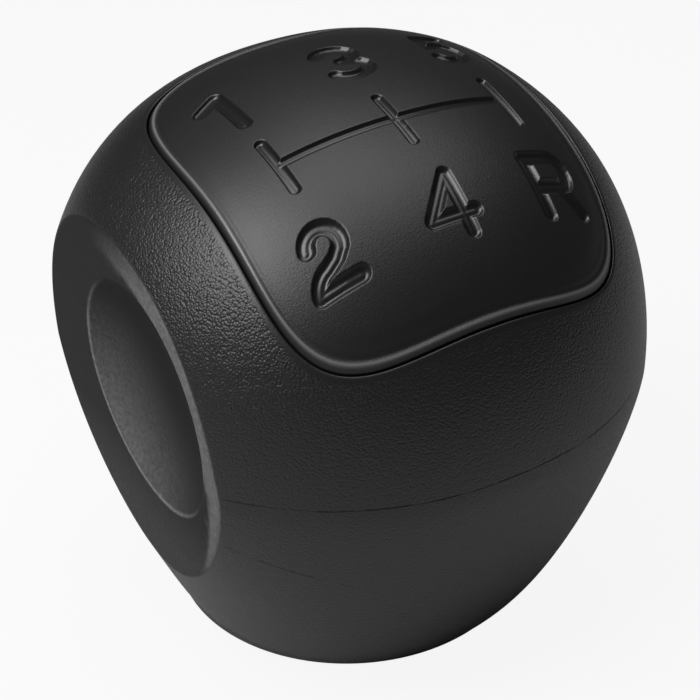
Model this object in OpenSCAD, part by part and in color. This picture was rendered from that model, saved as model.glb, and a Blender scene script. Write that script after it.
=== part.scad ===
// Gear shift knob: a moulded grip with two thumb rests, a domed pattern cap and a lever bush.
// Millimetres. +Z is up along the lever, +X is to the right of the driver and +Y is forward.
// The origin is the centre of the base face.

/* [Head] */
// Half width of the head at its belly, before the thumb rests are cut
head_r = 25; // [23:0.5:28]
// Reach of the belly from the head's middle towards the driver
front_reach = 26.3; // [24:0.1:29]
// Reach of the belly from the head's middle away from the driver
back_reach = 21; // [19:0.5:25]
// How far the head's middle lies ahead of the lever
head_ahead = 1.2; // [-1:0.1:4]
// Height of the head's dome, before the cap is sunk in it
head_h = 49.4; // [46:0.1:56]
// Height of the belly, the widest level
belly_h = 24.1; // [21:0.1:27]
// Squareness of the head's plan: 2 is round, larger is squarer
plan_power = 2.16; // [2:0.02:2.6]
// Fullness of the side just under the belly
side_full_low = 1.1; // [0.5:0.1:10]
// Fullness of the side just over the belly
side_full_high = 2.4; // [0.5:0.1:12]
// How far the crown stays flat from its middle
crown_full = 26; // [20:0.5:27]
// Radius of the foot
foot_r = 15.6; // [13:0.1:18]
// Outward reach of the curve that leaves the foot
foot_flare = 6.9; // [2:0.1:8]
// Height that the curve leaving the foot aims at
foot_rise = 8.2; // [5:0.1:12]
// Size of the rounded edge under the foot
foot_round = 0.6; // [0.2:0.1:1.2]
// How far the flank draws in under each thumb rest
flank_in = 1.6; // [0:0.1:2.4]
// Height where it draws in most
flank_z = 9.4; // [6:0.1:14]
// Extra squareness of the plan at that height
flank_square = 0.13; // [0:0.01:0.5]

/* [Thumb rests] */
// Distance from the lever to the furthest level of each thumb rest
rest_x = 20.7; // [18:0.05:22.5]
// Height of that furthest level
rest_z = 39.5; // [32:0.1:42]
// Radius of the gentle bow that each thumb rest has up and down
rest_bow_r = 275; // [120:5:400]
// Height of the middle of the dish
dish_z = 27.2; // [23:0.1:30]
// Place of the middle of the dish, ahead of the lever
dish_y = -3.3; // [-6:0.1:3]
// Radius of the dish's rim
dish_rim_r = 10; // [7:0.1:12]
// Depth of the dish
dish_deep = 1.8; // [0.6:0.1:2.5]

/* [Pattern cap] */
// Place of the middle of the cap, ahead of the lever
cap_y = -8.4; // [-10:0.1:-5]
// Tilt of the cap towards the driver, in degrees
cap_tilt = 19; // [12:1:24]
// Half width of the cap
cap_half_w = 15.25; // [12:0.05:16.5]
// Half length of the cap, along its slope
cap_half_l = 16.55; // [13:0.05:17.5]
// Squareness of the cap's outline: 2 is oval, larger is squarer
cap_power = 4.1; // [2.5:0.1:8]
// Depth of the cap's face under the grip's surface
cap_sink = 0.1; // [0:0.05:0.8]
// Width of the cap's rolled edge
cap_roll = 0.5; // [0.3:0.1:1.6]
// Thickness of the cap
cap_thick = 2.4; // [1.8:0.1:3.2]
// Gap round the cap
cap_gap = 0.15; // [0.05:0.05:0.3]
// Radius of the cap's locating pegs
peg_r = 1.9; // [1.2:0.1:2.6]
// Length of the pegs
peg_len = 4.5; // [3:0.5:6]
// Place of the pegs, to each side of the cap's middle
peg_u = 9; // [6:0.5:10.5]
// Place of the pegs, along the slope from the cap's middle
peg_v = 10; // [6:0.5:11.5]

/* [Lever bush] */
// Height of the collar that shows under the foot
collar_h = 0.6; // [0.4:0.1:2]
// How far the collar stands in from the foot's radius
collar_step = 1.3; // [0.5:0.1:4]
// Radius of the bush's sleeve
sleeve_r = 8; // [7:0.1:9]
// Height of the top of the sleeve
sleeve_h = 31; // [26:0.5:33]
// Reach of the sleeve's holding rings
hold_reach = 1; // [0.5:0.1:1.8]
// Height of each holding ring
hold_h = 3; // [2:0.5:4]
// Height of the middle of the lower holding ring
hold_low_z = 10; // [6:0.5:12]
// Height of the middle of the upper holding ring
hold_high_z = 22; // [17:0.5:25]
// Width of the ribs that stop the bush from turning
rib_w = 2; // [1.5:0.1:4]
// Radius of the threaded hole's wall
lever_hole_r = 5.35; // [4:0.05:6]
// Depth of the threaded hole
lever_hole_deep = 27; // [20:0.5:28]
// Chamfer at the mouth of the threaded hole
mouth_chamfer = 0.8; // [0.3:0.1:1.5]

/* [Fits] */
// Clearance where one piece sits on or presses into another
seat_gap = 0.05; // [0.02:0.01:0.1]

/* [Hidden] */

plastic_black = "#232323";
plastic_dark = "#1b1b1b";

ring_sides = 72;
rings_low = 16;
rings_high = 20;
round_rings = 2;
cap_sides = 88;
cap_rings = [0.2, 0.4, 0.6, 0.8, 0.92];
roll_rings = 4;
dome_samples = 80;
solve_steps = 10;
solve_rate = 0.7;
clear = 1;
past = 6;

collar_r = foot_r - collar_step;
dish_r = (dish_rim_r * dish_rim_r + dish_deep * dish_deep) / (2 * dish_deep);
wide = 2 * max(front_reach, back_reach, head_r) + 4 * abs(head_ahead);

function bezier(p, t) =
    pow(1 - t, 3) * p[0] + 3 * pow(1 - t, 2) * t * p[1] + 3 * (1 - t) * t * t * p[2] + t * t * t * p[3];

// Side profile of the head, as [half width, height] from the foot to the crown
foot_top = collar_h + foot_round;
low_curve = [
    [foot_r, foot_top],
    [foot_r + foot_flare, foot_rise],
    [head_r, belly_h - side_full_low],
    [head_r, belly_h]];
high_curve = [
    [head_r, belly_h],
    [head_r, belly_h + side_full_high],
    [crown_full, head_h],
    [0, head_h]];
profile = concat(
    [for (i = [0 : round_rings - 1])
        let (a = 90 * i / round_rings)
        [foot_r - foot_round * (1 - sin(a)), foot_top - foot_round * cos(a)]],
    [for (i = [0 : rings_low - 1]) bezier(low_curve, i / rings_low)],
    [for (i = [0 : rings_high - 1]) bezier(high_curve, i / rings_high)]);

function signed_pow(v, p) = sign(v) * pow(abs(v), p);

// Share of the head's full plan that a level has: none at the base, all from the belly up
function plan_share(z) = let (t = min(1, z / belly_h)) t * t * (3 - 2 * t);

// Share of the flank's draw that a level has: all at flank_z, none at the base and from the belly up
function flank_share(z) =
    let (s = pow(min(1, z / belly_h), ln(0.5) / ln(flank_z / belly_h)))
    pow(4 * s * (1 - s), 2);

// One level of the head: round at the foot, squarer and off centre at the belly
function level(r, z) =
    let (
        share = plan_share(z),
        draw = flank_share(z),
        power = 2 + (plan_power - 2) * share + flank_square * draw,
        front = 1 + (front_reach / head_r - 1) * share,
        back = 1 + (back_reach / head_r - 1) * share)
    [for (i = [0 : ring_sides - 1])
        let (a = 360 * i / ring_sides, s = sin(a))
        [
            (r - flank_in * draw) * signed_pow(cos(a), 2 / power),
            head_ahead * share + r * (s < 0 ? front : back) * signed_pow(s, 2 / power),
            z]];

// Height of the dome over a point of the plan
dome_table = [for (i = [dome_samples : -1 : 0]) bezier(high_curve, i / dome_samples)];
function dome_z(x, y) =
    let (
        ahead = y - head_ahead,
        depth = (ahead < 0 ? front_reach : back_reach) / head_r,
        r = pow(pow(abs(x), plan_power) + pow(abs(ahead) / depth, plan_power), 1 / plan_power))
    lookup(r, dome_table);

// A closed skin over a stack of rings, each with the same number of points, from low to high
module ring_solid(rings, low_tip, high_tip) {
    n = len(rings);
    sides = len(rings[0]);
    low = n * sides;
    polyhedron(
        points = concat([for (ring = rings) each ring], [low_tip, high_tip]),
        faces = concat(
            [for (i = [0 : sides - 1]) [low, i, (i + 1) % sides]],
            [for (k = [0 : n - 2], i = [0 : sides - 1], upper = [0, 1])
                let (j = (i + 1) % sides, a = k * sides, b = a + sides)
                upper == 1 ? [a + i, b + j, a + j] : [a + i, b + i, b + j]],
            [for (i = [0 : sides - 1]) [(n - 1) * sides + i, low + 1, (n - 1) * sides + (i + 1) % sides]]));
}

module head_form() {
    ring_solid([for (p = profile) level(p[0], p[1])], [0, 0, collar_h], [0, head_ahead, head_h]);
}

// The cap's own frame: u across, v up the slope and w out of the dome at the cap's middle
cap_z = dome_z(0, cap_y);
function from_cap(u, v, w) = [
    u,
    cap_y + v * cos(cap_tilt) - w * sin(cap_tilt),
    cap_z + v * sin(cap_tilt) + w * cos(cap_tilt)];
function face_w(u, v, w = 0, steps = solve_steps) =
    let (p = from_cap(u, v, w))
    steps == 0 ? w : face_w(u, v, w + solve_rate * (dome_z(p[0], p[1]) - p[2]), steps - 1);

// A ring of the cap, inset from its outline, shrunk by a share and dropped under the dome
function cap_ring(inset, share, drop) =
    let (a = cap_half_w - inset, b = cap_half_l - inset)
    [for (i = [0 : cap_sides - 1])
        let (
            t = 360 * (i + 0.5) / cap_sides,
            reach = share / pow(
                pow(abs(cos(t)) / a, cap_power) + pow(abs(sin(t)) / b, cap_power), 1 / cap_power),
            u = reach * cos(t),
            v = reach * sin(t))
        [u, v, face_w(u, v) - drop]];

module place_cap() {
    translate([0, cap_y, cap_z]) rotate([cap_tilt, 0, 0]) children();
}

module cap_shell() {
    low = cap_sink + cap_thick;
    ring_solid(
        concat(
            [for (share = cap_rings) cap_ring(0, share, low)],
            [cap_ring(0, 1, low)],
            [for (k = [0 : roll_rings])
                let (a = 90 * k / roll_rings)
                cap_ring(cap_roll * (1 - cos(a)), 1, cap_sink + cap_roll * (1 - sin(a)))],
            [for (i = [len(cap_rings) - 1 : -1 : 0]) cap_ring(cap_roll, cap_rings[i], cap_sink)]),
        [0, 0, -low],
        [0, 0, -cap_sink]);
}

// Room for the cap in the grip: the same outline and floor, with the gaps, open at the top
module cap_recess() {
    low = cap_sink + cap_thick + seat_gap;
    ring_solid(
        concat(
            [for (share = cap_rings) cap_ring(-cap_gap, share, low)],
            [cap_ring(-cap_gap, 1, low), cap_ring(-cap_gap, 1, -past)]),
        [0, 0, -low],
        [0, 0, past]);
}

module pegs(gap) {
    root = cap_sink + cap_thick;
    for (u = [-1, 1], v = [-1, 1])
        let (deck = face_w(u * peg_u, v * peg_v) - root)
        translate([u * peg_u, v * peg_v, deck - peg_len - gap])
            cylinder(r = peg_r + gap, h = peg_len + gap + clear, $fn = 32);
}

// The bush's outside, grown by a gap where it cuts its own socket in the grip
module bush_outside(gap) {
    r = sleeve_r + gap;
    reach = hold_reach;
    half = hold_h / 2 + gap;
    rotate_extrude($fn = 96)
        polygon([
            [0, 0], [r, 0],
            [r, hold_low_z - half], [r + reach, hold_low_z - half + reach / 2],
            [r + reach, hold_low_z + half - reach / 2], [r, hold_low_z + half],
            [r, hold_high_z - half], [r + reach, hold_high_z - half + reach / 2],
            [r + reach, hold_high_z + half - reach / 2], [r, hold_high_z + half],
            [r, sleeve_h + gap], [0, sleeve_h + gap]]);
    for (a = [0, 90])
        rotate([0, 0, a])
            translate([-(r + reach), -rib_w / 2 - gap, 0])
                cube([2 * (r + reach), rib_w + 2 * gap, hold_high_z]);
}

// Everything inside the gently bowed face of one thumb rest
module rest_side(side) {
    translate([side * (rest_x - rest_bow_r), 0, rest_z])
        rotate([90, 0, 0])
            cylinder(r = rest_bow_r, h = wide, center = true, $fn = 720);
}

module rest_dish(side) {
    turn = asin((dish_z - rest_z) / rest_bow_r);
    out = rest_bow_r - dish_deep + dish_r;
    translate([side * (rest_x - rest_bow_r + out * cos(turn)), dish_y, rest_z + out * sin(turn)])
        sphere(r = dish_r, $fn = 144);
}

module grip_body() {
    color(plastic_black)
    difference() {
        intersection() {
            head_form();
            rest_side(-1);
            rest_side(1);
        }
        rest_dish(-1);
        rest_dish(1);
        place_cap() {
            cap_recess();
            pegs(seat_gap);
        }
        bush_outside(seat_gap);
    }
}

module pattern_cap() {
    color(plastic_dark)
    place_cap() {
        cap_shell();
        pegs(0);
    }
}

module lever_bush() {
    color(plastic_dark)
    difference() {
        union() {
            bush_outside(0);
            cylinder(r = collar_r, h = collar_h - seat_gap, $fn = 144);
        }
        translate([0, 0, -clear]) cylinder(r = lever_hole_r, h = lever_hole_deep + clear, $fn = 64);
        translate([0, 0, -seat_gap])
            cylinder(
                r1 = lever_hole_r + mouth_chamfer + seat_gap,
                r2 = lever_hole_r,
                h = mouth_chamfer + seat_gap,
                $fn = 64);
    }
}

grip_body();
pattern_cap();
lever_bush();
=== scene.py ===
import math

import bpy
import numpy as np
from mathutils import Matrix, Vector


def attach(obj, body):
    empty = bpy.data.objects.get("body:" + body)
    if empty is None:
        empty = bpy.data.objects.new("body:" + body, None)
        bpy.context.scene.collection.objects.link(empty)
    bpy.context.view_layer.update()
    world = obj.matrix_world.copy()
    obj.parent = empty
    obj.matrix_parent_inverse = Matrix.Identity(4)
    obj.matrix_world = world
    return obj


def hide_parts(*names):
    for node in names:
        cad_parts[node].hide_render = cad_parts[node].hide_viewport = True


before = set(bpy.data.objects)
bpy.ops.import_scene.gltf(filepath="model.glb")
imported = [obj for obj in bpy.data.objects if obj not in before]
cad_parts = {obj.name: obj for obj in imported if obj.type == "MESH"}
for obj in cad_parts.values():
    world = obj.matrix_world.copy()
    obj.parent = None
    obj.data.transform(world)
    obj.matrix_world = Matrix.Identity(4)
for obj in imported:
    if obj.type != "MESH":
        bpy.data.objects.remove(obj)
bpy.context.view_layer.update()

# Sizes in millimetres, as in the part. Everything is placed in metres at the end.
MM = 0.001

HEAD_R = 25.0
FRONT_REACH = 26.3
BACK_REACH = 21.0
HEAD_AHEAD = 1.2
HEAD_H = 49.4
BELLY_H = 24.1
PLAN_POWER = 2.16
SIDE_FULL_LOW = 1.1
SIDE_FULL_HIGH = 2.4
CROWN_FULL = 26.0
FOOT_R = 15.6
FOOT_FLARE = 6.9
FOOT_RISE = 8.2
FOOT_ROUND = 0.6
FLANK_IN = 1.6
FLANK_Z = 9.4
FLANK_SQUARE = 0.13
COLLAR_H = 0.6

REST_X = 20.7
REST_Z = 39.5
REST_BOW_R = 275.0
DISH_Z = 27.2
DISH_Y = -3.3
DISH_RIM_R = 10.0
DISH_DEEP = 1.8
DISH_POWER = 3.8

CAP_Y = -8.4
CAP_TILT = math.radians(19.0)
CAP_HALF_W = 15.25
CAP_HALF_L = 16.55
CAP_POWER = 4.1
CAP_SINK = 0.1
CAP_THICK = 2.4
CAP_GAP = 0.15
SEAT_GAP = 0.05

SLEEVE_R = 8.0
SLEEVE_H = 31.0
SLEEVE_GAP = 0.06

# Rounding of the moulded edges
REST_SOFT = 0.22
DISH_SOFT = 0.1
RIM_ROUND = 0.3
EDGE_ROLL = 0.25
# The low bead along the cap's edge and the valley inside it, each as place, height and width
EDGE_RELIEF = ((0.3, 0.1, 0.14), (0.65, -0.09, 0.17), (1.15, -0.05, 0.45))

# Height of the line where the mould's halves meet
PARTING_Z = 25.2


# The head's form

def bezier(p, t):
    """Points of a cubic curve with four control points."""
    t = t[:, None]
    p = np.array(p)
    u = 1 - t
    return u ** 3 * p[0] + 3 * u ** 2 * t * p[1] + 3 * u * t * t * p[2] + t ** 3 * p[3]


FOOT_TOP = COLLAR_H + FOOT_ROUND
LOW_CURVE = [(FOOT_R, FOOT_TOP), (FOOT_R + FOOT_FLARE, FOOT_RISE),
             (HEAD_R, BELLY_H - SIDE_FULL_LOW), (HEAD_R, BELLY_H)]
HIGH_CURVE = [(HEAD_R, BELLY_H), (HEAD_R, BELLY_H + SIDE_FULL_HIGH), (CROWN_FULL, HEAD_H), (0, HEAD_H)]


def side_profile():
    """The head's half section from the middle of its base to its crown, and the length run along it."""
    base = np.stack([np.linspace(0, FOOT_R - FOOT_ROUND, 30), np.full(30, COLLAR_H)], 1)
    a = np.linspace(0, math.pi / 2, 12)[1:]
    edge = np.stack([FOOT_R - FOOT_ROUND * (1 - np.sin(a)), FOOT_TOP - FOOT_ROUND * np.cos(a)], 1)
    low = bezier(LOW_CURVE, np.linspace(0, 1, 300))[1:]
    high = bezier(HIGH_CURVE, np.linspace(0, 1, 400))[1:]
    points = np.concatenate([base, edge, low, high])
    run = np.concatenate([[0], np.cumsum(np.linalg.norm(np.diff(points, axis=0), axis=1))])
    return points, run


PROFILE, PROFILE_RUN = side_profile()


def flank_share(z):
    """How much of the flank's draw-in a height gets, full at FLANK_Z."""
    s = np.clip(z / BELLY_H, 1e-6, 1) ** (math.log(0.5) / math.log(FLANK_Z / BELLY_H))
    return (4 * s * (1 - s)) ** 2


def head_point(ball):
    """Where a point of a unit ball goes on the head: latitude along the profile, longitude round the plan."""
    lat = np.arcsin(np.clip(ball[:, 2], -1, 1))
    run = (lat / math.pi + 0.5) * PROFILE_RUN[-1]
    r = np.interp(run, PROFILE_RUN, PROFILE[:, 0])
    z = np.interp(run, PROFILE_RUN, PROFILE[:, 1])
    flat = np.maximum(np.hypot(ball[:, 0], ball[:, 1]), 1e-9)
    c, s = ball[:, 0] / flat, ball[:, 1] / flat
    t = np.minimum(1, z / BELLY_H)
    share = t * t * (3 - 2 * t)
    draw = np.where(z > FOOT_TOP, flank_share(z), 0) * np.minimum(1, r / FOOT_R)
    power = 2 / (2 + (PLAN_POWER - 2) * share + FLANK_SQUARE * draw)
    depth = np.where(s < 0, 1 + (FRONT_REACH / HEAD_R - 1) * share, 1 + (BACK_REACH / HEAD_R - 1) * share)
    x = (r - FLANK_IN * draw) * np.sign(c) * np.abs(c) ** power
    y = HEAD_AHEAD * share + r * depth * np.sign(s) * np.abs(s) ** power
    return np.stack([x, y, z], 1)


DOME = bezier(HIGH_CURVE, np.linspace(1, 0, 600))


def dome_z(x, y):
    """Height of the dome over a point of the plan."""
    ahead = y - HEAD_AHEAD
    depth = np.where(ahead < 0, FRONT_REACH, BACK_REACH) / HEAD_R
    r = (np.abs(x) ** PLAN_POWER + (np.abs(ahead) / depth) ** PLAN_POWER) ** (1 / PLAN_POWER)
    return np.interp(r, DOME[:, 0], DOME[:, 1])


def soft_min(a, b, soft):
    """The lesser of two values, rounded where they cross."""
    h = np.clip(1 - np.abs(a - b) / soft, 0, 1)
    return np.minimum(a, b) - h * h * soft / 4


def rest_face(z):
    """Distance from the lever to the bowed thumb rest at a height."""
    return REST_X - REST_BOW_R + np.sqrt(REST_BOW_R ** 2 - (z - REST_Z) ** 2)


def dish_face(y, z):
    """The dish in the rest's face, a little steeper at its rim than a ball's cap."""
    out = np.hypot(y - DISH_Y, z - DISH_Z) / DISH_RIM_R
    inner = 1 - np.minimum(out, 1) ** DISH_POWER
    beyond = np.maximum(out - 1, 0) * DISH_POWER
    return rest_face(z) - DISH_DEEP * (inner - beyond)


def thumb_rests(p):
    """Presses the two thumb rests and their dishes into the head's sides."""
    side = np.sign(p[:, 0])
    x = soft_min(np.abs(p[:, 0]), rest_face(p[:, 2]), REST_SOFT)
    x = soft_min(x, dish_face(p[:, 1], p[:, 2]), DISH_SOFT)
    out = p.copy()
    out[:, 0] = side * x
    return out


# The cap's own frame: u across, v up its slope and w out of the dome

CAP_Z = float(dome_z(np.array([0.0]), np.array([CAP_Y]))[0])
CT, ST = math.cos(CAP_TILT), math.sin(CAP_TILT)
SOLVE_STEPS = 14


def from_cap(u, v, w):
    """The cap's own places in the knob's frame."""
    return np.stack([u, CAP_Y + v * CT - w * ST, CAP_Z + v * ST + w * CT], 1)


def to_cap(p):
    """Places of the knob's frame in the cap's own."""
    y, z = p[:, 1] - CAP_Y, p[:, 2] - CAP_Z
    return p[:, 0], y * CT + z * ST, -y * ST + z * CT


def face_w(u, v):
    """Where the dome's face lies over a point of the cap's own plane."""
    w = np.zeros_like(u)
    for _ in range(SOLVE_STEPS):
        p = from_cap(u, v, w)
        w = w + 0.7 * (dome_z(p[:, 0], p[:, 1]) - p[:, 2])
    return w


def outline_reach(cos, sin, inset):
    """Distance from the cap's middle to its outline in a direction, drawn in by an inset."""
    a, b = CAP_HALF_W - inset, CAP_HALF_L - inset
    share = (np.abs(cos) / a) ** CAP_POWER + (np.abs(sin) / b) ** CAP_POWER
    return 1 / np.maximum(share, 1e-9) ** (1 / CAP_POWER)


def outside_cap(u, v):
    """Distance out from the cap's outline, negative within it."""
    r = np.maximum(np.hypot(u, v), 1e-6)
    return (r - outline_reach(u / r, v / r, 0)) * 0.97


def rim(p):
    """Rolls the grip's edge over into the recess, by how near a point is to the recess wall."""
    u, v, w = to_cap(p)
    out = outside_cap(u, v) - CAP_GAP
    lean = np.clip(1 - out / RIM_ROUND, 0, 1)
    drop = RIM_ROUND * (1 - np.sqrt(1 - lean * lean))
    near = (out > -3) & (w > -12) & (p[:, 2] > BELLY_H)
    drop = np.where(near, drop, 0)
    return p + drop[:, None] * np.array([0, ST, -CT])


# The shift pattern, engraved in the cap and laid out in the cap's frame

GATE_U = (-9.75, 0.3, 10.3)
GATE_V = 0.25
GATE_HALF = 2.65
GATE_STROKE = 0.48
CROSS_STROKE = 0.42
# Depth of the gate's and the signs' grooves as a share of half their width
GATE_DEEP = 1.1
SIGN_DEEP = 0.85
# Low rib along the middle of each groove: height as a share of the depth, width of the half width
RIB = 0.4
RIB_WIDE = 0.42
# Rounding of the grooves' upper edges
LIP = 0.07


def arc(cx, cy, rx, ry, a0, a1):
    """Points of an oval's arc between two angles in degrees."""
    a = np.radians(np.linspace(a0, a1, 14))
    return [(cx + rx * math.cos(t), cy + ry * math.sin(t)) for t in a]


# Strokes of each sign in a box one wide and one high
SIGNS = {
    "1": [[(-0.5, 0.3), (0.5, 0.5), (0.5, -0.5)]],
    "2": [arc(-0.03, 0.2, 0.39, 0.3, 172, -28) + [(0.13, -0.08)] + arc(0, -0.53, 0.51, 0.36, 105, 170)
          + [(-0.5, -0.5), (0.5, -0.5)]],
    "3": [arc(-0.02, 0.25, 0.46, 0.25, 155, -90), arc(-0.02, -0.25, 0.5, 0.25, 90, -155)],
    "4": [[(0.25, -0.5), (0.25, 0.5), (-0.5, -0.2), (0.5, -0.2)]],
    "5": [[(0.42, 0.5), (-0.34, 0.5), (-0.4, 0.06)] + arc(-0.02, -0.18, 0.48, 0.32, 130, -150)],
    "R": [[(-0.5, -0.5), (-0.5, 0.5), (0.18, 0.5)] + arc(0.18, 0.23, 0.34, 0.27, 90, -90) + [(-0.5, -0.04)],
          [(0.12, -0.04), (0.5, -0.5)]],
}
# Sign, middle across, middle along the slope, width, height and half its stroke's width
PLACES = [
    ("1", -10.35, 8.1, 1.7, 4.5, 0.62),
    ("3", 0.85, 8.9, 3.3, 4.7, 0.62),
    ("5", 10.4, 8.8, 3.1, 4.7, 0.62),
    ("2", -9.95, -8.3, 3.1, 4.4, 0.68),
    ("4", -0.1, -8.4, 3.8, 4.8, 0.6),
    ("R", 9.85, -8.4, 3.4, 4.6, 0.66),
]


def stroke_lines():
    """Every straight piece of the pattern as (start, end, half width, depth as a share of it)."""
    lines = [((GATE_U[0], GATE_V), (GATE_U[2], GATE_V), CROSS_STROKE, GATE_DEEP)]
    for u in GATE_U:
        lines.append(((u, GATE_V - GATE_HALF), (u, GATE_V + GATE_HALF), GATE_STROKE, GATE_DEEP))
    for name, cu, cv, wide, high, half in PLACES:
        for stroke in SIGNS[name]:
            points = [(cu + x * wide, cv + y * high) for x, y in stroke]
            for a, b in zip(points, points[1:]):
                if math.dist(a, b) > 0.01:
                    lines.append((a, b, half, SIGN_DEEP))
    return lines


STROKES = stroke_lines()


def outside_stroke(u, v):
    """Distance out from the edge of the nearest groove, negative within it, half its width and its depth."""
    best = np.full(len(u), 9.0)
    wide = np.ones(len(u))
    deep = np.zeros(len(u))
    for (au, av), (bu, bv), half, share in STROKES:
        du, dv = bu - au, bv - av
        t = np.clip(((u - au) * du + (v - av) * dv) / (du * du + dv * dv), 0, 1)
        d = np.hypot(u - au - t * du, v - av - t * dv) - half
        closer = d < best
        best = np.where(closer, d, best)
        wide = np.where(closer, half, wide)
        deep = np.where(closer, half * share, deep)
    return best, wide, deep


def groove(u, v):
    """How deep the pattern is cut: round-bottomed grooves with a low rib and softened upper edges."""
    d, wide, deep = outside_stroke(u, v)
    off = np.clip(1 + d / wide, 0, 2)
    cut = deep * (1 - off ** 2 - RIB * np.exp(-(off / RIB_WIDE) ** 2))
    h = np.clip(1 - np.abs(cut) / LIP, 0, 1)
    return np.maximum(cut, 0) + h * h * LIP / 4


def edge_relief(u, v):
    """Height of the bead along the cap's edge and of the valley inside it."""
    inside = -outside_cap(u, v)
    return sum(high * np.exp(-((inside - place) / wide) ** 2) for place, high, wide in EDGE_RELIEF)


# Mesh helpers

def only(obj):
    """Leaves one object selected and active."""
    bpy.ops.object.select_all(action="DESELECT")
    bpy.context.view_layer.objects.active = obj
    obj.select_set(True)


def named(name):
    """Names the new object and its mesh."""
    obj = bpy.context.active_object
    obj.name = name
    obj.data.name = name
    return obj


def read(obj):
    co = np.empty(len(obj.data.vertices) * 3)
    obj.data.vertices.foreach_get("co", co)
    return co.reshape(-1, 3)


def write(obj, co):
    obj.data.vertices.foreach_set("co", co.ravel())
    obj.data.update()


def face_middles(obj):
    mid = np.empty(len(obj.data.polygons) * 3)
    obj.data.polygons.foreach_get("center", mid)
    return mid.reshape(-1, 3)


def refine(obj, wanted):
    """Subdivides once the faces that wanted picks by their middles."""
    pick = wanted(face_middles(obj))
    mesh = obj.data
    only(obj)
    bpy.ops.object.mode_set(mode="EDIT")
    bpy.ops.mesh.select_mode(type="FACE")
    bpy.ops.object.mode_set(mode="OBJECT")
    mesh.vertices.foreach_set("select", np.zeros(len(mesh.vertices), bool))
    mesh.edges.foreach_set("select", np.zeros(len(mesh.edges), bool))
    mesh.polygons.foreach_set("select", pick)
    bpy.ops.object.mode_set(mode="EDIT")
    bpy.ops.mesh.subdivide(number_cuts=1, ngon=False, quadcorner="INNERVERT")
    bpy.ops.object.mode_set(mode="OBJECT")


def cut(obj, tool):
    """Takes the tool's volume out of a piece and removes the tool."""
    only(obj)
    mod = obj.modifiers.new("cut", "BOOLEAN")
    mod.object = tool
    mod.operation = "DIFFERENCE"
    mod.solver = "EXACT"
    bpy.ops.object.modifier_apply(modifier=mod.name)
    bpy.data.objects.remove(tool)


def smooth(obj, degrees):
    """Shades a piece smooth but for edges sharper than an angle."""
    only(obj)
    bpy.ops.object.shade_smooth_by_angle(angle=math.radians(degrees))


def point_value(obj, name, values):
    """Keeps a value for each vertex, for the materials to read."""
    attribute = obj.data.attributes.new(name, "FLOAT", "POINT")
    attribute.data.foreach_set("value", np.asarray(values, np.float32))


# Pieces

def grid_plate(name, parts):
    """A closed slab from a grid: two layers of a square, with walls between."""
    bpy.ops.object.select_all(action="DESELECT")
    bpy.ops.mesh.primitive_grid_add(x_subdivisions=parts, y_subdivisions=parts, size=2, location=(0, 0, 0))
    plate = named(name)
    bpy.ops.object.mode_set(mode="EDIT")
    bpy.ops.mesh.select_all(action="SELECT")
    bpy.ops.mesh.extrude_region_move(TRANSFORM_OT_translate={"value": (0, 0, 1)})
    bpy.ops.mesh.select_all(action="SELECT")
    bpy.ops.mesh.normals_make_consistent(inside=False)
    bpy.ops.object.mode_set(mode="OBJECT")
    return plate


# Grid squares along each side of the cap and of the tool that cuts its recess
CAP_PARTS = 88
RECESS_PARTS = 96
# Share of the slab's half width that the cap's flat part takes, inside its rolled edge
FLAT_SHARE = 0.9


def plate_point(square, offset, roll, low, high, grooves):
    """Where a point of the square slab goes: its rings follow the outline, low and high under the dome."""
    s, t, layer = square[:, 0], square[:, 1], square[:, 2]
    m = np.maximum(np.maximum(np.abs(s), np.abs(t)), 1e-9)
    cos, sin = s / m * CAP_HALF_W, t / m * CAP_HALF_L
    size = np.maximum(np.hypot(cos, sin), 1e-9)
    cos, sin = cos / size, sin / size
    turn = np.clip((1 - m) / (1 - FLAT_SHARE), 0, 1) * math.pi / 2
    inset = np.where(m > FLAT_SHARE, roll * (1 - np.cos(turn)), roll) - offset
    share = np.minimum(m / FLAT_SHARE, 1) if roll else m
    reach = outline_reach(cos, sin, inset) * share
    drop = np.where(m > FLAT_SHARE, roll * (1 - np.sin(turn)), 0)
    u, v = reach * cos, reach * sin
    flat = outline_reach(cos, sin, -offset) * m
    u = np.where(layer > 0.5, u, flat * cos)
    v = np.where(layer > 0.5, v, flat * sin)
    w = face_w(u, v)
    if grooves:
        drop = drop + groove(u, v) - edge_relief(u, v)
    w = np.where(layer > 0.5, w - high - drop, w - low)
    return from_cap(u, v, w), u, v


def make_pattern_cap():
    """The domed cap with its border bead and the engraved pattern, finer where it is cut."""
    cap = grid_plate("pattern_cap_face", CAP_PARTS)

    def spot(square):
        return plate_point(square, 0, EDGE_ROLL, CAP_SINK + CAP_THICK, CAP_SINK, False)

    def near_groove(reach, core):
        def wanted(middles):
            _, u, v = spot(middles)
            d = outside_stroke(u, v)[0]
            return (middles[:, 2] > 0.9) & (d < reach) & (d > -core)
        return wanted

    def near_edge(share):
        def wanted(middles):
            return (middles[:, 2] > 0.9) & (np.abs(middles[:, :2]).max(axis=1) > share)
        return wanted

    refine(cap, near_groove(0.5, 9))
    refine(cap, near_groove(0.2, 9))
    refine(cap, near_edge(0.79))
    refine(cap, near_edge(0.84))
    refine(cap, near_groove(0.08, 0.1))
    square = read(cap)
    place, u, v = plate_point(square, 0, EDGE_ROLL, CAP_SINK + CAP_THICK, CAP_SINK, True)
    write(cap, place * MM)
    d = outside_stroke(u, v)[0]
    on_face = square[:, 2] > 0.5
    point_value(cap, "engraved", np.where(on_face, np.clip((0.08 - d) / 0.1, 0, 1), 0))
    # Painted highlight: a lighter grey strip along the bead at the cap's edge
    bead_highlight = np.exp(-((-outside_cap(u, v) - EDGE_RELIEF[0][0]) / 0.1) ** 2)
    point_value(cap, "bead_highlight", np.where(on_face, bead_highlight, 0))
    smooth(cap, 60)
    return cap


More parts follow.
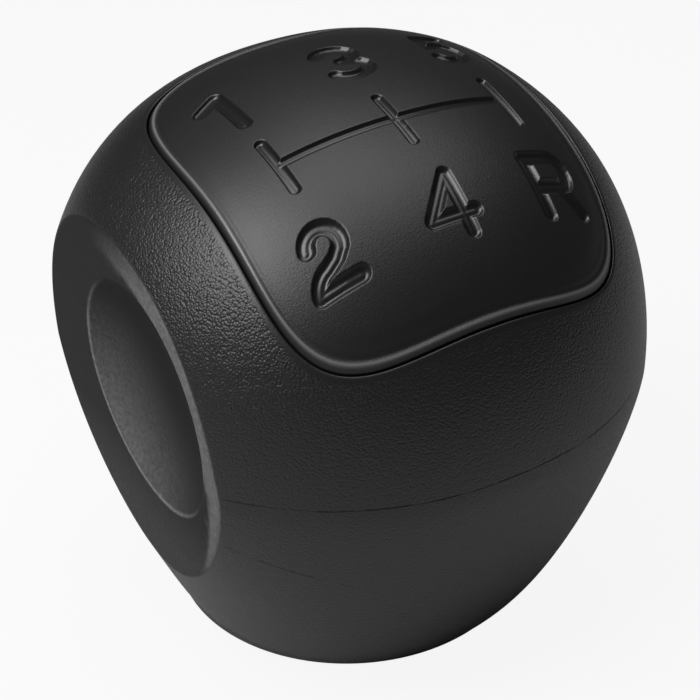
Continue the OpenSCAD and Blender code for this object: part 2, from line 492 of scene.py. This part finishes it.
def recess_tool():
    """The block that cuts the recess: the cap's outline with its gap, from the seat to above the dome."""
    tool = grid_plate("recess_tool", RECESS_PARTS)
    place, _, _ = plate_point(read(tool), CAP_GAP, 0, CAP_SINK + CAP_THICK + SEAT_GAP, -6, False)
    write(tool, place * MM)
    return tool


def rest_dust_and_painted_light(raw):
    """How much lighter grey goes on a thumb rest, mostly painted light: the dish lit at its lower back, a
    painted highlight along its rim and along the ridge before it, and painted floor light growing lower down
    over a faint lighter tone of the whole rest; the material breaks it up into dust-like specks.
    """
    y, z = raw[:, 1], raw[:, 2]
    inset = np.abs(raw[:, 0]) - rest_face(z)
    out = np.hypot(y - DISH_Y, z - DISH_Z) / DISH_RIM_R
    side = (0.7 * (y - DISH_Y) - 0.7 * (z - DISH_Z)) / DISH_RIM_R
    # Painted light: the dish lighter towards its lower back, where the light falls, and darker at its top
    dish = 0.54 * np.clip(0.28 + 0.72 * side, 0, 1) ** 1.8 * np.clip((1.01 - out) / 0.04, 0, 1)
    # Painted highlight along the dish's rim
    rim_highlight = np.clip(1 - np.abs(out - 0.995) / 0.022, 0, 1) * np.clip(0.3 + 1.2 * side, 0, 1)
    # Painted highlight: a lighter strip on the rest along the ridge, wider lower down
    wide = 0.25 + 1.1 * np.clip((z - 15) / 9, 0, 1)
    ridge_highlight = np.clip((inset + 0.16) / 0.1, 0, 1) * np.clip((wide - inset) / 0.3, 0, 1)
    ridge_highlight = ridge_highlight * np.clip((4 - y) / 8, 0, 1)
    ridge_highlight = 0.62 * ridge_highlight * np.clip((z - 11.5) / 4, 0, 1) * np.clip((42 - z) / 4, 0, 1)
    # Painted floor light: lighter towards the bottom of the rest, over a faint lighter tone of the whole rest
    below = 0.16 * np.clip((20 - z) / 8, 0, 1) + 0.05
    return np.maximum.reduce([dish, rim_highlight, ridge_highlight * (out > 1), below * (out > 1)]) * (inset > -0.2)


def make_grip():
    """The grip's skin from a ball: refined at its edges, shaped, and cut for the cap and the bush."""
    bpy.ops.object.select_all(action="DESELECT")
    bpy.ops.mesh.primitive_uv_sphere_add(segments=160, ring_count=88, radius=1, location=(0, 0, 0))
    grip = named("grip_skin")

    def ball(points):
        return points / np.maximum(np.linalg.norm(points, axis=1), 1e-9)[:, None]

    def measures(points):
        raw = head_point(ball(points))
        ridge = np.abs(np.abs(raw[:, 0]) - rest_face(raw[:, 2]))
        p = thumb_rests(raw)
        rest = np.abs(raw[:, 0]) > rest_face(raw[:, 2]) - 0.2
        dish = np.abs(rest_face(p[:, 2]) - dish_face(p[:, 1], p[:, 2]))
        u, v, w = to_cap(raw)
        out = np.abs(outside_cap(u, v) - CAP_GAP - 0.25) + np.where(raw[:, 2] < BELLY_H, 99, 0)
        return ridge, np.where(rest, dish, 99), out

    def near(ridge_reach, dish_reach, out_reach):
        def wanted(middles):
            ridge, dish, out = measures(middles)
            return (ridge < ridge_reach) | (dish < dish_reach) | (out < out_reach)
        return wanted

    refine(grip, near(1.0, 0.5, 1.7))
    write(grip, ball(read(grip)))
    refine(grip, near(0.5, 0.25, 0.95))
    write(grip, ball(read(grip)))
    refine(grip, near(0.22, 0.13, 0.5))
    write(grip, ball(read(grip)))
    refine(grip, near(0, 0, 0.27))
    write(grip, ball(read(grip)))
    raw = head_point(ball(read(grip)))
    on_rest = np.clip((np.abs(raw[:, 0]) - rest_face(raw[:, 2]) + 0.2) / 0.1, 0, 1)
    u, v, _ = to_cap(raw)
    by_rim = np.clip((RIM_ROUND + 0.4 - outside_cap(u, v)) / 0.15, 0, 1)
    on_rim = np.where(raw[:, 2] > BELLY_H, by_rim, 0)
    point_value(grip, "rest", on_rest)
    point_value(grip, "rim", on_rim)
    # Painted light on the thumb rests, with dust, kept for the material
    point_value(grip, "rest_dust_and_painted_light", rest_dust_and_painted_light(raw))
    place = rim(thumb_rests(raw))
    write(grip, place * MM)
    cut(grip, recess_tool())
    bpy.ops.object.select_all(action="DESELECT")
    bpy.ops.mesh.primitive_cylinder_add(vertices=96, radius=(SLEEVE_R + SLEEVE_GAP) * MM,
                                        depth=(SLEEVE_H + 1) * MM, location=(0, 0, (SLEEVE_H - 1) / 2 * MM))
    tool = named("sleeve_tool")
    cut(grip, tool)
    smooth(grip, 50)
    return grip


# Materials

GRIP_BLACK = (0.009, 0.009, 0.0095, 1)
# Lighter grey of the thumb rests: mostly painted light (a lit dish, highlights along its rim and the ridge,
# floor light below), partly dust
GRIP_DUST_AND_PAINTED_LIGHT = (0.2, 0.2, 0.2, 1)
CAP_BLACK = (0.007, 0.007, 0.0075, 1)
# Lighter grey painted on the bead along the cap's edge as its highlight
CAP_BEAD_HIGHLIGHT = (0.13, 0.13, 0.132, 1)
BUSH_BLACK = (0.006, 0.006, 0.006, 1)
# Leather pebbles in a metre
PEBBLES = 5000.0


def new_material(name):
    """A material with its nodes and links."""
    material = bpy.data.materials.new(name)
    material.use_nodes = True
    return material, material.node_tree.nodes, material.node_tree.links


def node(nodes, kind, **values):
    """A new node with its settings, or else the values of its inputs."""
    made = nodes.new(kind)
    for key, value in values.items():
        if hasattr(made, key):
            setattr(made, key, value)
        else:
            made.inputs[key.replace("_", " ")].default_value = value
    return made


def new_group(name, inputs, outputs):
    """A node group with its sockets, nodes, links, input and output."""
    group = bpy.data.node_groups.new(name, "ShaderNodeTree")
    for label, kind in inputs:
        group.interface.new_socket(label, in_out="INPUT", socket_type=kind)
    for label, kind in outputs:
        group.interface.new_socket(label, in_out="OUTPUT", socket_type=kind)
    n = group.nodes
    return group, n, group.links, n.new("NodeGroupInput"), n.new("NodeGroupOutput")


def math_node(n, l, operation, a, b=None, c=None):
    """A Math node whose inputs are links or numbers."""
    made = node(n, "ShaderNodeMath", operation=operation)
    for slot, value in zip(made.inputs, (a, b, c)):
        if isinstance(value, (int, float)):
            slot.default_value = value
        elif value is not None:
            l.new(value, slot)
    return made.outputs[0]


def leather_grain_group():
    """Moulded leather grain: small domed pebbles parted by creases, over a finer unevenness."""
    group, n, l, i, o = new_group(
        "leather_grain", [("Vector", "NodeSocketVector"), ("Scale", "NodeSocketFloat")],
        [("Height", "NodeSocketFloat")])
    bend = node(n, "ShaderNodeTexNoise", Scale=700.0, Detail=2.0)
    l.new(i.outputs["Vector"], bend.inputs["Vector"])
    shift = node(n, "ShaderNodeVectorMath", operation="MULTIPLY_ADD")
    shift.inputs[1].default_value = (0.0002, 0.0002, 0.0002)
    l.new(bend.outputs["Color"], shift.inputs[0])
    l.new(i.outputs["Vector"], shift.inputs[2])
    cells = node(n, "ShaderNodeTexVoronoi", feature="F1")
    l.new(shift.outputs[0], cells.inputs["Vector"])
    l.new(i.outputs["Scale"], cells.inputs["Scale"])
    dome = math_node(n, l, "MULTIPLY", cells.outputs["Distance"], cells.outputs["Distance"])
    fine = node(n, "ShaderNodeTexNoise", Scale=7000.0, Detail=3.0, Roughness=0.6)
    l.new(i.outputs["Vector"], fine.inputs["Vector"])
    uneven = math_node(n, l, "MULTIPLY", fine.outputs["Fac"], 0.35)
    l.new(math_node(n, l, "SUBTRACT", uneven, dome), o.inputs["Height"])
    return group


def mould_lines_group():
    """The thin line where the mould's halves meet, and the fainter crease under it, both broken up."""
    group, n, l, i, o = new_group(
        "mould_lines", [("Vector", "NodeSocketVector")], [("Line", "NodeSocketFloat")])
    split = node(n, "ShaderNodeSeparateXYZ")
    l.new(i.outputs["Vector"], split.inputs[0])
    wander = node(n, "ShaderNodeTexNoise", Scale=260.0, Detail=2.0)
    l.new(i.outputs["Vector"], wander.inputs["Vector"])
    level = math_node(n, l, "MULTIPLY_ADD", wander.outputs["Fac"], 0.0003, split.outputs["Z"])
    gaps = node(n, "ShaderNodeTexNoise", Scale=420.0, Detail=3.0)
    l.new(i.outputs["Vector"], gaps.inputs["Vector"])
    kept = node(n, "ShaderNodeMapRange", interpolation_type="SMOOTHSTEP")
    kept.inputs["From Min"].default_value = 0.42
    kept.inputs["From Max"].default_value = 0.56
    l.new(gaps.outputs["Fac"], kept.inputs["Value"])

    def line(off, width):
        far = math_node(n, l, "ABSOLUTE", off)
        ramp = node(n, "ShaderNodeMapRange", interpolation_type="SMOOTHSTEP")
        ramp.inputs["From Min"].default_value = width
        ramp.inputs["From Max"].default_value = 0.0
        l.new(far, ramp.inputs["Value"])
        return ramp.outputs["Result"]

    parting = line(math_node(n, l, "SUBTRACT", level, (PARTING_Z + 0.15) * MM), 0.0001)
    side = math_node(n, l, "ABSOLUTE", split.outputs["X"])
    slope = math_node(n, l, "MULTIPLY_ADD", side, -0.42, level)
    crease = line(math_node(n, l, "SUBTRACT", slope, 0.0116), 0.00009)
    outer = node(n, "ShaderNodeMapRange", interpolation_type="SMOOTHSTEP")
    outer.inputs["From Min"].default_value = 0.005
    outer.inputs["From Max"].default_value = 0.014
    l.new(side, outer.inputs["Value"])
    front = math_node(n, l, "LESS_THAN", split.outputs["Y"], 0.0)
    crease = math_node(n, l, "MULTIPLY", math_node(n, l, "MULTIPLY", crease, outer.outputs["Result"]), front)
    crease = math_node(n, l, "MULTIPLY", crease, kept.outputs["Result"])
    whole = math_node(n, l, "MULTIPLY_ADD", kept.outputs["Result"], 0.65, 0.35)
    parting = math_node(n, l, "MULTIPLY", parting, whole)
    l.new(math_node(n, l, "MAXIMUM", parting, crease), o.inputs["Line"])
    return group


def grip_material(grain, lines):
    """Black soft-touch plastic: leather grain off the thumb rests, matte on them, with a lighter grey painted
    on them as light and highlights, speckled like dust.
    """
    material, n, l = new_material("black_grained_grip")
    shader = n["Principled BSDF"]
    place = node(n, "ShaderNodeTexCoord")
    rest = node(n, "ShaderNodeAttribute", attribute_name="rest")
    pebbles = node(n, "ShaderNodeGroup")
    pebbles.node_tree = grain
    pebbles.inputs["Scale"].default_value = PEBBLES
    l.new(place.outputs["Object"], pebbles.inputs["Vector"])
    mould = node(n, "ShaderNodeGroup")
    mould.node_tree = lines
    l.new(place.outputs["Object"], mould.inputs["Vector"])
    edge = node(n, "ShaderNodeAttribute", attribute_name="rim")
    ungrained = math_node(n, l, "MAXIMUM", rest.outputs["Fac"], edge.outputs["Fac"])
    plain = math_node(n, l, "SUBTRACT", 1.0, ungrained)
    line = math_node(n, l, "MULTIPLY", mould.outputs["Line"], plain)
    depth = math_node(n, l, "MULTIPLY_ADD", plain, 0.85, 0.15)
    skin = math_node(n, l, "MULTIPLY", pebbles.outputs["Height"], depth)
    height = math_node(n, l, "MULTIPLY_ADD", line, -1.1, skin)
    bump = node(n, "ShaderNodeBump", Strength=1.0, Distance=0.000042)
    l.new(height, bump.inputs["Height"])
    l.new(bump.outputs["Normal"], shader.inputs["Normal"])
    dust_and_light = node(n, "ShaderNodeAttribute", attribute_name="rest_dust_and_painted_light")
    specks = node(n, "ShaderNodeTexNoise", Scale=2600.0, Detail=3.0, Roughness=0.7)
    l.new(place.outputs["Object"], specks.inputs["Vector"])
    patchy = node(n, "ShaderNodeMapRange")
    patchy.inputs["From Min"].default_value = 0.3
    patchy.inputs["From Max"].default_value = 0.75
    patchy.inputs["To Min"].default_value = 0.7
    patchy.inputs["To Max"].default_value = 1.4
    l.new(specks.outputs["Fac"], patchy.inputs["Value"])
    # The thumb rests' lighter grey: painted light and highlights, broken up into dust-like specks
    tint = node(n, "ShaderNodeMix", data_type="RGBA")
    # The Mix node's colour sockets are the seventh, the eighth and the third
    tint.inputs[6].default_value = GRIP_BLACK
    tint.inputs[7].default_value = GRIP_DUST_AND_PAINTED_LIGHT
    l.new(math_node(n, l, "MULTIPLY", dust_and_light.outputs["Fac"], patchy.outputs["Result"]), tint.inputs[0])
    l.new(tint.outputs[2], shader.inputs["Base Color"])
    rough = node(n, "ShaderNodeMapRange")
    rough.inputs["To Min"].default_value = 0.38
    rough.inputs["To Max"].default_value = 0.5
    l.new(rest.outputs["Fac"], rough.inputs["Value"])
    l.new(rough.outputs["Result"], shader.inputs["Roughness"])
    off_rest = math_node(n, l, "SUBTRACT", 1.0, rest.outputs["Fac"])
    gloss = math_node(n, l, "MULTIPLY_ADD", off_rest, 0.47, 0.03)
    gloss = math_node(n, l, "MULTIPLY_ADD", line, -0.35, gloss)
    l.new(gloss, shader.inputs["Specular IOR Level"])
    return material


def cap_material():
    """Satin black plastic, glossier in the grooves and on the bead along its edge, where a lighter grey is
    painted on as the bead's highlight.
    """
    material, n, l = new_material("satin_black_cap")
    shader = n["Principled BSDF"]
    place = node(n, "ShaderNodeTexCoord")
    engraved = node(n, "ShaderNodeAttribute", attribute_name="engraved")
    fine = node(n, "ShaderNodeTexNoise", Scale=6500.0, Detail=3.0, Roughness=0.6)
    l.new(place.outputs["Object"], fine.inputs["Vector"])
    plain = math_node(n, l, "SUBTRACT", 1.0, engraved.outputs["Fac"])
    height = math_node(n, l, "MULTIPLY", fine.outputs["Fac"], plain)
    bump = node(n, "ShaderNodeBump", Strength=0.6, Distance=0.00004)
    l.new(height, bump.inputs["Height"])
    l.new(bump.outputs["Normal"], shader.inputs["Normal"])
    bead_highlight = node(n, "ShaderNodeAttribute", attribute_name="bead_highlight")
    # Painted highlight on the bead along the cap's edge
    tint = node(n, "ShaderNodeMix", data_type="RGBA")
    tint.inputs[6].default_value = CAP_BLACK
    tint.inputs[7].default_value = CAP_BEAD_HIGHLIGHT
    l.new(bead_highlight.outputs["Fac"], tint.inputs[0])
    l.new(tint.outputs[2], shader.inputs["Base Color"])
    rough = node(n, "ShaderNodeMapRange")
    rough.inputs["To Min"].default_value = 0.43
    rough.inputs["To Max"].default_value = 0.3
    l.new(math_node(n, l, "MAXIMUM", engraved.outputs["Fac"], bead_highlight.outputs["Fac"]), rough.inputs["Value"])
    l.new(rough.outputs["Result"], shader.inputs["Roughness"])
    return material


def bush_material():
    """Plain black plastic."""
    material, n, l = new_material("plain_black_bush")
    shader = n["Principled BSDF"]
    place = node(n, "ShaderNodeTexCoord")
    fine = node(n, "ShaderNodeTexNoise", Scale=2500.0, Detail=3.0)
    l.new(place.outputs["Object"], fine.inputs["Vector"])
    bump = node(n, "ShaderNodeBump", Strength=0.3, Distance=0.00004)
    l.new(fine.outputs["Fac"], bump.inputs["Height"])
    l.new(bump.outputs["Normal"], shader.inputs["Normal"])
    shader.inputs["Base Color"].default_value = BUSH_BLACK
    shader.inputs["Roughness"].default_value = 0.5
    return material


def dress(obj, material):
    """Gives a piece one material."""
    obj.data.materials.clear()
    obj.data.materials.append(material)


# Studio

# Strength of the air for what isn't the camera, and share of the floor that shows as plain white
AIR = 0.06
FLOOR_WHITE = 0.9
LAMP_AIM = (0, 0, 30)


def studio():
    """The pale floor and the air, which show white to the camera and light the knob little."""
    bpy.ops.object.select_all(action="DESELECT")
    # Just under the knob's base, so that the two faces don't share a plane
    bpy.ops.mesh.primitive_plane_add(size=4, location=(0, 0, -0.02 * MM))
    floor = named("studio_floor")
    material, n, l = new_material("pale_floor")
    out = n["Material Output"]
    n.remove(n["Principled BSDF"])
    seen = node(n, "ShaderNodeLightPath")
    pale = node(n, "ShaderNodeBsdfDiffuse", Color=(0.5, 0.5, 0.5, 1))
    glow = node(n, "ShaderNodeEmission", Color=(1, 1, 1, 1), Strength=1.0)
    mix = node(n, "ShaderNodeMixShader")
    l.new(math_node(n, l, "MULTIPLY", seen.outputs["Is Camera Ray"], FLOOR_WHITE), mix.inputs[0])
    l.new(pale.outputs[0], mix.inputs[1])
    l.new(glow.outputs[0], mix.inputs[2])
    l.new(mix.outputs[0], out.inputs["Surface"])
    dress(floor, material)

    world = bpy.data.worlds.new("studio_air")
    bpy.context.scene.world = world
    world.use_nodes = True
    n, l = world.node_tree.nodes, world.node_tree.links
    back = n["Background"]
    back.inputs["Color"].default_value = (1, 1, 1, 1)
    seen = node(n, "ShaderNodeLightPath")
    level = node(n, "ShaderNodeMapRange")
    level.inputs["To Min"].default_value = AIR
    level.inputs["To Max"].default_value = 1.0
    l.new(seen.outputs["Is Camera Ray"], level.inputs["Value"])
    l.new(level.outputs["Result"], back.inputs["Strength"])


def softbox(name, azimuth, elevation, far, size, power):
    """An area lamp that looks at the middle of the head from a direction, sizes in millimetres."""
    a, e = math.radians(azimuth), math.radians(elevation)
    aim, far = Vector(LAMP_AIM) * MM, far * MM
    way = Vector((math.cos(a) * math.cos(e), math.sin(a) * math.cos(e), math.sin(e)))
    bpy.ops.object.select_all(action="DESELECT")
    bpy.ops.object.light_add(type="AREA", location=aim + way * far)
    lamp = bpy.context.active_object
    lamp.name = name
    lamp.data.shape = "RECTANGLE"
    lamp.data.size, lamp.data.size_y = [side * MM for side in size]
    lamp.data.energy = power
    lamp.rotation_euler = (-way).to_track_quat("-Z", "Y").to_euler()


def camera():
    """The camera at the photograph's angle, fitted to its outline."""
    right = Vector((0.85919407, -0.51105357, -0.02469431))
    up = Vector((0.29529609, 0.45588711, 0.83962323))
    back = right.cross(up)
    pivot = Vector((0, 1.183, 24.1186)) * MM
    bpy.ops.object.camera_add()
    view = bpy.context.active_object
    view.name = "photo_camera"
    turn = Matrix((right, up, back)).transposed().to_4x4()
    view.matrix_world = Matrix.Translation(pivot + back * 170 * MM) @ turn
    view.data.sensor_width = 36
    view.data.lens = 102.06
    view.data.shift_x = 0.01816
    view.data.shift_y = -0.02903
    view.data.clip_start = 0.01
    bpy.context.scene.camera = view


camera()
studio()
softbox("key_box", 182, 51, 300, (180, 220), 0.98)
softbox("top_box", 30, 80, 260, (210, 210), 0.37)

grain = leather_grain_group()
lines = mould_lines_group()
grip = make_grip()
cap = make_pattern_cap()
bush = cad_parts["lever_bush"]
dress(grip, grip_material(grain, lines))
dress(cap, cap_material())
dress(bush, bush_material())
for piece, node_name in ((grip, "grip_body"), (cap, "pattern_cap")):
    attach(piece, "root")
    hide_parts(node_name)

bpy.context.scene.view_settings.view_transform = "Standard"
